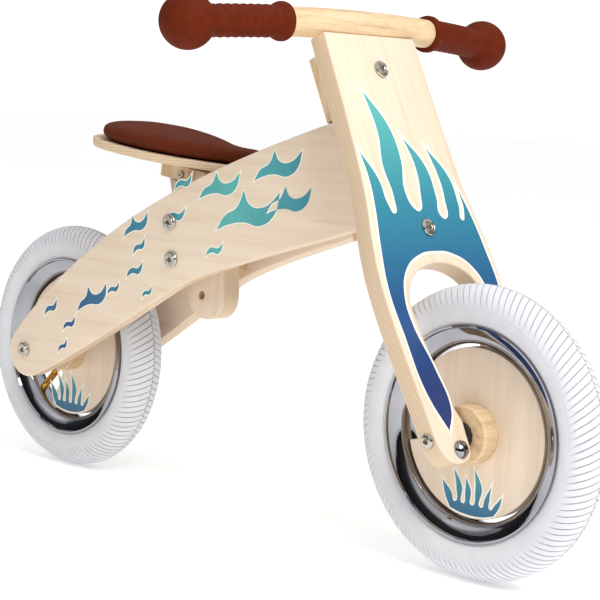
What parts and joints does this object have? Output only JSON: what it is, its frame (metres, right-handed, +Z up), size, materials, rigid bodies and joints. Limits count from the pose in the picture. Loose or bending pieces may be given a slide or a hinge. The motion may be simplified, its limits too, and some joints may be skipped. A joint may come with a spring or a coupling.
{
  "type": "balance bike",
  "caption": "Child's wooden balance bike: splayed ply side panels, leaning ply fork board with an arch, padded saddle, disc wheels with pale tyres and a round bar with ball-ended grips.",
  "frame": {"origin": "on the ground, midway between the two wheels' contact points, on the middle plane", "axes": "+X forward, +Y the rider's left, +Z up; the steering points straight ahead at rest and the saddle is at its lowest"},
  "size_m": [0.82, 0.4406, 0.4936],
  "materials": {
    "birch_ply": "clear satin varnish over birch plywood",
    "beech": "plain sanded hardwood",
    "brown_rubber": "matt ribbed rubber",
    "brown_hide": "satin imitation leather",
    "white_tyre": "matt off-white rubber",
    "black_rubber": "matt",
    "black_nylon": "matt",
    "chrome": "mirror plated",
    "nickel": "plated, slightly dull",
    "brass": "turned"
  },
  "bodies": {
    "frame": {"head_block": "beech", "head_peg_1": "beech", "post_cheek_left": "beech", "post_cheek_right": "beech", "rear_axle": "nickel", "rear_axle_bolt_left": "nickel", "rear_axle_bolt_right": "nickel", "rear_spacer_left": "beech", "rear_spacer_right": "beech", "seat_bolt_1": "nickel", "seat_bolt_2": "nickel", "seat_nut_1": "nickel", "seat_nut_2": "nickel", "side_panel_left": "birch_ply", "side_panel_right": "birch_ply"},
    "fork": {"bar_peg_1": "beech", "bar_peg_2": "beech", "fork_block_lower": "beech", "fork_block_upper": "beech", "fork_board": "birch_ply", "fork_bolt_1": "nickel", "fork_bolt_2": "nickel", "front_axle": "nickel", "front_axle_bolt_left": "nickel", "front_axle_bolt_right": "nickel", "front_spacer_left": "black_nylon", "front_spacer_right": "black_nylon", "grip_left": "brown_rubber", "grip_right": "brown_rubber", "handlebar": "beech", "leg_bolt_left": "chrome", "leg_bolt_right": "chrome", "steering_nut": "nickel", "steering_pin": "nickel", "steering_washer_lower": "black_nylon", "steering_washer_upper": "black_nylon"},
    "front_wheel": {"front_bush": "black_nylon", "front_disc": "birch_ply", "front_hub_left": "beech", "front_hub_right": "beech", "front_inner_tube": "black_rubber", "front_rim": "chrome", "front_tyre": "white_tyre", "front_valve": "brass"},
    "rear_wheel": {"rear_bush": "black_nylon", "rear_disc": "birch_ply", "rear_hub_left": "beech", "rear_hub_right": "beech", "rear_inner_tube": "black_rubber", "rear_rim": "chrome", "rear_tyre": "white_tyre", "rear_valve": "brass"},
    "seat": {"seat_board": "birch_ply", "seat_cleat_left": "beech", "seat_cleat_right": "beech", "seat_cross_bolt": "nickel", "seat_cushion": "brown_hide", "seat_post": "birch_ply", "seat_screw_left": "nickel", "seat_screw_right": "nickel"}
  },
  "joints": [
    {"name": "steering", "type": "hinge", "parent": "frame", "child": "fork", "pos_m": [0.25569, 0, 0.11825], "axis": [-0.4352, 0, 0.9003], "range_deg": [-35, 35]},
    {"name": "front_wheel_spin", "type": "hinge", "parent": "fork", "child": "front_wheel", "pos_m": [0.28, 0, 0.13], "axis": [0, 1, 0], "continuous": true},
    {"name": "rear_wheel_spin", "type": "hinge", "parent": "frame", "child": "rear_wheel", "pos_m": [-0.28, 0, 0.13], "axis": [0, 1, 0], "continuous": true},
    {"name": "seat_height", "type": "slide", "parent": "frame", "child": "seat", "axis": [-0.108, 0, 0.9942], "range_m": [0, 0.0365]}
  ]
}
